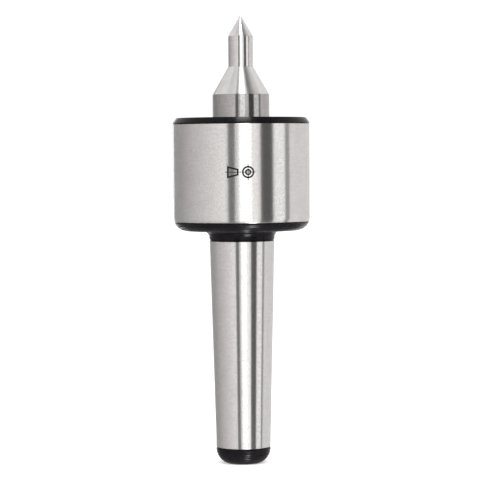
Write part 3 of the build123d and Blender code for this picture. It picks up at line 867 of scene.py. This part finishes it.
def buildCover(c):
    low, high = bottom("front_cover"), top("front_cover")
    headTop = top("body_shank")
    radius = outside("front_cover")
    lip = c["noseRadius"] + c["lipGap"]
    spigot = housing["threadRadius"] - c["threadGap"]
    feltRadius = outside("felt_seal")
    feltLow, feltHigh = bottom("felt_seal"), top("felt_seal")
    webLow = feltLow - c["web"]
    springSeat = outside("front_shield_upper") + c["shieldGap"]
    outline = [
        (lip, webLow),
        (springSeat, webLow),
        (springSeat, low),
        (spigot - c["threadChamfer"], low),
        (spigot, low + c["threadChamfer"]),
        *threadRings(
            spigot, low + c["threadChamfer"], headTop, housing["threadPitch"], -housing["threadCut"]
        ),
        (spigot, headTop),
        (radius - c["edge"], headTop),
        (radius, headTop + c["edge"]),
        (radius, high - c["flangeChamferAxial"] - c["edge"]),
        (radius - c["edge"] / 2, high - c["flangeChamferAxial"]),
        (radius - c["flangeChamferRadial"], high - c["edge"] / 2),
        (radius - c["flangeChamferRadial"] - c["edge"], high),
        (lip + c["edge"], high),
        (lip, high - c["edge"]),
        (lip, feltHigh),
        (feltRadius, feltHigh),
        (feltRadius, feltLow),
        (lip, feltLow),
    ]
    piece = latheTurn("coverRing", outline, roundSteps, closed=True)
    holeCircle = (feltRadius + housing["threadRadius"]) / 2
    for side in (-1, 1):
        deselectAll()
        # the cutter is a flat-bottomed drill, flared at its top to chamfer the hole
        bpy.ops.mesh.primitive_cylinder_add(
            vertices=48,
            radius=c["spannerRadius"],
            depth=c["spannerDepth"],
            location=(side * holeCircle, 0, high - c["spannerDepth"] / 2 - c["spannerEdge"]),
        )
        cutter = bpy.context.object
        bpy.ops.object.mode_set(mode="EDIT")
        bpy.ops.mesh.select_all(action="DESELECT")
        bpy.ops.object.mode_set(mode="OBJECT")
        for face in cutter.data.polygons:
            face.select = face.normal.z > 0.9
        bpy.ops.object.mode_set(mode="EDIT")
        flare = (c["spannerRadius"] + 2 * c["spannerEdge"]) / c["spannerRadius"]
        bpy.ops.mesh.extrude_region_move(TRANSFORM_OT_translate={"value": (0, 0, 2 * c["spannerEdge"])})
        bpy.ops.transform.resize(value=(flare, flare, 1))
        bpy.ops.object.mode_set(mode="OBJECT")
        cutAway(piece, cutter)
    finishFaces(piece, turnedBlackOxide)
    shadeByAngle(piece)
    finishPiece(piece, "housing", "black_oxide", "front_cover")
    return piece


coverRing = buildCover(cover)
print("cover turned:", len(coverRing.data.polygons), "faces")


mark = dict(
    height=38.5 * mm,  # above the gauge plane, on the front
    coneMiddle=-4.1 * mm,
    coneLength=5.4 * mm,
    ringMiddle=3.1 * mm,
    bigEnd=5.8 * mm,
    smallEnd=3.0 * mm,
    line=0.8 * mm,
    thinLine=0.36 * mm,
    standOff=3 * mm,
    overhang=0.8 * mm,
    depth=0.02 * mm,
    cuts=7,  # so that it bends round the head
)


def flatShape(kind, place, size):
    # a flat shape that faces the front, ready to shape in edit mode
    deselectAll()
    if kind == "ring":
        bpy.ops.mesh.primitive_circle_add(
            vertices=72, radius=size[0] / 2, location=place, rotation=(pi / 2, 0, 0)
        )
    else:
        bpy.ops.mesh.primitive_plane_add(size=1, location=place, rotation=(pi / 2, 0, 0))
    shape = bpy.context.object
    bpy.ops.object.transform_apply(location=False, rotation=True)
    bpy.ops.object.mode_set(mode="EDIT")
    bpy.ops.mesh.select_mode(type="VERT")
    bpy.ops.mesh.select_all(action="SELECT")
    if kind == "plane":
        bpy.ops.transform.resize(value=(size[0], 1, size[1]))
    return shape


def buildMark(k):
    # a truncated cone and its end view, the drawing sign for a taper, in place of any lettering
    front = -outside("body_shank") - k["standOff"]
    shapes = []
    cone = flatShape("plane", (k["coneMiddle"], front, k["height"]), (k["coneLength"], k["bigEnd"]))
    bpy.ops.mesh.select_all(action="DESELECT")
    bpy.ops.object.mode_set(mode="OBJECT")
    for vertex in cone.data.vertices:
        vertex.select = vertex.co.x > 0
    bpy.ops.object.mode_set(mode="EDIT")
    bpy.ops.transform.resize(value=(1, 1, k["smallEnd"] / k["bigEnd"]))
    bpy.ops.mesh.select_all(action="SELECT")
    bpy.ops.mesh.inset(thickness=k["line"])
    bpy.ops.mesh.delete(type="ONLY_FACE")
    shapes.append(cone)
    for size in (k["bigEnd"], k["smallEnd"]):
        shapes.append(flatShape("ring", (k["ringMiddle"], front, k["height"]), (size,)))
        inner = (size - 2 * k["line"]) / size
        bpy.ops.mesh.extrude_edges_move(TRANSFORM_OT_translate={"value": (0, 0, 0)})
        bpy.ops.transform.resize(value=(inner, 1, inner))
    reach = 2 * k["overhang"]
    for middle, wide, high in (
        (k["coneMiddle"], k["coneLength"] + reach, k["thinLine"]),
        (k["ringMiddle"], k["bigEnd"] + reach, k["thinLine"]),
        (k["ringMiddle"], k["thinLine"], k["bigEnd"] + reach),
    ):
        shapes.append(flatShape("plane", (middle, front, k["height"]), (wide, high)))
    deselectAll()
    for shape in shapes:
        shape.select_set(True)
    bpy.context.view_layer.objects.active = shapes[0]
    bpy.ops.object.join()
    piece = bpy.context.object
    piece.name = "taperSign"
    bpy.ops.object.transform_apply(location=True)
    bpy.ops.object.mode_set(mode="EDIT")
    bpy.ops.mesh.select_all(action="SELECT")
    bpy.ops.mesh.subdivide(number_cuts=k["cuts"])
    bpy.ops.object.mode_set(mode="OBJECT")
    wrap = piece.modifiers.new("wrap", "SHRINKWRAP")
    wrap.target = housingBody
    wrap.wrap_method = "PROJECT"
    wrap.use_project_y = True
    wrap.use_positive_direction = True
    wrap.offset = k["depth"] / 4  # barely proud, as burnt metal is
    bpy.ops.object.modifier_apply(modifier=wrap.name)
    wall = piece.modifiers.new("wall", "SOLIDIFY")
    wall.thickness = k["depth"]
    bpy.ops.object.modifier_apply(modifier=wall.name)
    piece.data.materials.append(laserMarkedSteel)
    finishPiece(piece, "housing", "ground_steel")
    return piece


taperSign = buildMark(mark)
print("mark wrapped on the head:", len(taperSign.data.polygons), "faces")


felt = dict(edge=0.3 * mm, tuft=0.6 * mm, fuzz=0.035 * mm, clear=0.06 * mm)


def buildFelt(f):
    outer, low, high = outside("felt_seal"), bottom("felt_seal"), top("felt_seal")
    inner = cover["noseRadius"] + f["clear"] + f["fuzz"]
    outer -= f["fuzz"]
    low, high, e = low + f["fuzz"], high - f["fuzz"], f["edge"]
    outline = arc((outer - e, low + e), e, -90, 0, 4) + arc((outer - e, high - e), e, 0, 90, 4)
    outline += arc((inner + e, high - e), e, 90, 180, 4) + arc((inner + e, low + e), e, 180, 270, 4)
    piece = latheTurn("feltRing", outline, roundSteps, closed=True)
    tufts = bpy.data.textures.new("feltTufts", "CLOUDS")
    tufts.noise_scale = f["tuft"]
    fuzz = piece.modifiers.new("fuzz", "DISPLACE")
    fuzz.texture = tufts
    fuzz.texture_coords = "LOCAL"
    fuzz.strength = f["fuzz"]
    deselectAll()
    bpy.context.view_layer.objects.active = piece
    bpy.ops.object.modifier_apply(modifier=fuzz.name)
    finishFaces(piece, pressedWoolFelt)
    shadeByAngle(piece, 60)
    finishPiece(piece, "housing", "wool_felt", "felt_seal")


buildFelt(felt)
print("felt ring made")


lockScrew = dict(
    radius=1.5 * mm, pitch=0.5 * mm, cut=0.25 * mm, chamfer=0.25 * mm, socket=0.75 * mm, socketDepth=1.3 * mm
)


def buildLockScrew(k):
    low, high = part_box("lock_screw")
    length = high.y - low.y
    height = (low.z + high.z) / 2
    outline = [
        (0, 0),
        (k["radius"] - k["chamfer"], 0),
        (k["radius"], k["chamfer"]),
        *threadRings(k["radius"], k["chamfer"], length - k["chamfer"], k["pitch"], -k["cut"]),
        (k["radius"], length - k["chamfer"]),
        (k["radius"] - k["chamfer"], length),
        (0, length),
    ]
    piece = latheTurn("lockGrubScrew", outline, 48, closed=False)
    deselectAll()
    bpy.ops.mesh.primitive_cylinder_add(
        vertices=6,
        radius=k["socket"] / cos(pi / 6),
        depth=2 * k["socketDepth"],
        location=(0, 0, length),
    )
    cutAway(piece, bpy.context.object)
    piece.rotation_euler = (-pi / 2, 0, 0)
    piece.location = (0, low.y, height)
    deselectAll()
    piece.select_set(True)
    bpy.context.view_layer.objects.active = piece
    bpy.ops.object.transform_apply()
    finishFaces(piece, phosphatedSpringSteel)
    shadeByAngle(piece)
    finishPiece(piece, "housing", "screw_steel", "lock_screw")


buildLockScrew(lockScrew)
print("lock screw made")


point = dict(
    tipRadius=0.5 * mm,
    pinRadius=6 * mm,
    pinBottom=88.92 * mm,
    noseRadius=13.75 * mm,
    journalRadius=12.5 * mm,
    thrustRadius=10 * mm,
    rearRadius=7.5 * mm,
    edge=0.15 * mm,
    journalChamfer=0.8 * mm,
    grooveDepth=0.55 * mm,
    grooveGap=0.1 * mm,
    collarLength=3 * mm,
    journalLift=1 * mm,  # thrust journal's end above the housing's floor
    halfAngle=radians(30),
    rearHoleMouth=3.375 * mm,
    rearHolePilot=1.5 * mm,
    rearPilotDepth=3.6 * mm,
)


def buildPoint(p):
    half = p["halfAngle"]
    tip = top("center_spindle")
    rear = bottom("center_spindle")
    collar = outside("center_spindle")
    apex = tip + p["tipRadius"] / sin(half) - p["tipRadius"]
    pinTop = apex - p["pinRadius"] / tan(half)
    noseTop = p["pinBottom"] - (p["noseRadius"] - p["pinRadius"]) / tan(half)
    bearingTop, bearingLow = top("front_inner_ring"), bottom("front_inner_ring")
    collarTop = bearingTop + p["collarLength"]
    ringLow = bottom("retaining_ring")
    thrustTop = top("thrust_shaft_washer")
    thrustEnd = bottom("thrust_housing_washer") + p["journalLift"]
    holeCone = (p["rearHoleMouth"] - p["rearHolePilot"]) / tan(half)
    holeEnd = rear + holeCone + p["rearPilotDepth"]
    e = p["edge"]
    outline = arc((0, tip - p["tipRadius"]), p["tipRadius"], 90, 30, 6)
    outline += [
        (p["pinRadius"] - e / 2, pinTop + e * cos(half)),
        (p["pinRadius"], pinTop - e),
        (p["pinRadius"], p["pinBottom"] + e),
        (p["pinRadius"] + e / 2, p["pinBottom"] - e * cos(half)),
        (p["noseRadius"] - e / 2, noseTop + e * cos(half)),
        (p["noseRadius"], noseTop - e),
        (p["noseRadius"], collarTop + e),
        (p["noseRadius"] + e, collarTop),
        (collar - e, collarTop),
        (collar, collarTop - e),
        (collar, bearingTop),
        (p["journalRadius"], bearingTop),
        (p["journalRadius"], bearingLow),
        (p["journalRadius"] - p["grooveDepth"], bearingLow),
        (p["journalRadius"] - p["grooveDepth"], ringLow - p["grooveGap"]),
        (p["journalRadius"], ringLow - p["grooveGap"]),
        (p["journalRadius"], thrustTop + e),
        (p["journalRadius"] - e, thrustTop),
        (p["thrustRadius"], thrustTop),
        (p["thrustRadius"], thrustEnd + p["journalChamfer"]),
        (p["thrustRadius"] - p["journalChamfer"], thrustEnd),
        (p["rearRadius"], thrustEnd),
        (p["rearRadius"], rear + p["journalChamfer"]),
        (p["rearRadius"] - p["journalChamfer"], rear),
        (p["rearHoleMouth"], rear),
        (p["rearHolePilot"], rear + holeCone),
        (p["rearHolePilot"], holeEnd),
        (0, holeEnd + p["rearHolePilot"] / tan(housing["drillHalfAngle"])),
    ]
    piece = latheTurn("longNosePoint", outline, roundSteps, closed=False)
    fine = (fineGroundToolSteel, lambda r, z: p["pinBottom"] < z < pinTop)
    tapered = (taperGroundToolSteel, lambda r, z: z > pinTop or noseTop < z < p["pinBottom"])
    finishFaces(piece, plungeGroundToolSteel, [fine, tapered])
    shadeByAngle(piece, 20)
    finishPiece(piece, "spindle", "point_steel", "center_spindle")
    return piece


longNosePoint = buildPoint(point)
print("point turned:", len(longNosePoint.data.polygons), "faces")


innerFinishes = {
    "front_outer_ring": groundBearingSteel,
    "front_inner_ring": groundBearingSteel,
    "thrust_shaft_washer": groundBearingSteel,
    "thrust_housing_washer": groundBearingSteel,
    "front_balls": lappedBearingSteel,
    "thrust_balls": lappedBearingSteel,
    "needle_rollers": lappedBearingSteel,
    "front_cage_upper": pressedSteelSheet,
    "front_cage_lower": pressedSteelSheet,
    "front_cage_rivets": pressedSteelSheet,
    "needle_cup": pressedSteelSheet,
    "front_shield_upper": zincPlatedSheet,
    "front_shield_lower": zincPlatedSheet,
    "thrust_cage": machinedBrass,
    "needle_cage": machinedBrass,
    "lock_pad": machinedBrass,
    "preload_spring": phosphatedSpringSteel,
    "retaining_ring": phosphatedSpringSteel,
}
for node, material in innerFinishes.items():
    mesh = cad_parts[node].data
    mesh.materials.clear()
    mesh.materials.append(material)
